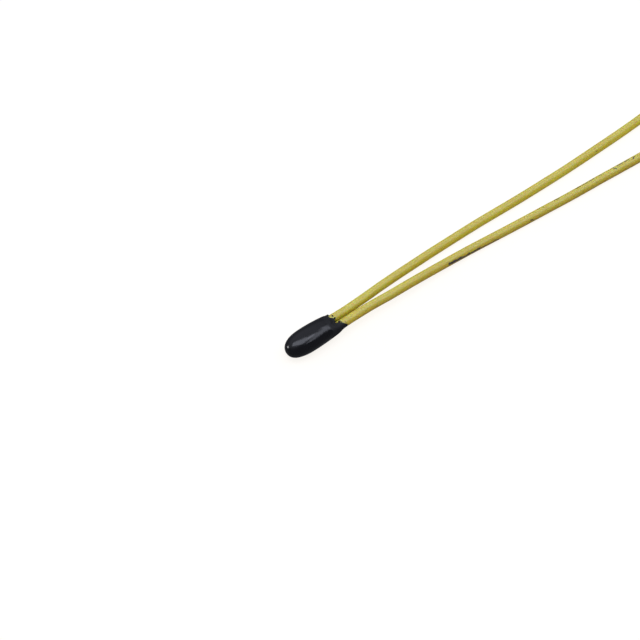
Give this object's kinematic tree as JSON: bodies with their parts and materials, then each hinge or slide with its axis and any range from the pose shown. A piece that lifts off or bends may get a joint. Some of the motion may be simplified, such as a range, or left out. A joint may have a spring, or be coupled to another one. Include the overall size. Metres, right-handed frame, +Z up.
{
  "type": "bead thermistor",
  "caption": "Bead thermistor: a black epoxy drop over a soldered sensing chip, on insulated yellow leads with bare stripped ends.",
  "frame": {"origin": "on the surface it lies on, under the middle of the epoxy bead", "axes": "+X from the bead's nose towards the leads, +Y to the left lead, +Z up from the surface"},
  "size_m": [0.0512, 0.0049, 0.0022],
  "materials": {
    "epoxy": "gloss",
    "chip": "matt",
    "electrode": "satin",
    "solder": "satin",
    "conductor": "bright",
    "insulation": "satin"
  },
  "bodies": {
    "root": {"epoxy_bead": "epoxy", "thermistor_chip": "chip", "electrode_left": "electrode", "electrode_right": "electrode", "solder_left": "solder", "solder_right": "solder", "conductor_left": "conductor", "conductor_right": "conductor", "insulation_left": "insulation", "insulation_right": "insulation"}
  },
  "joints": []
}
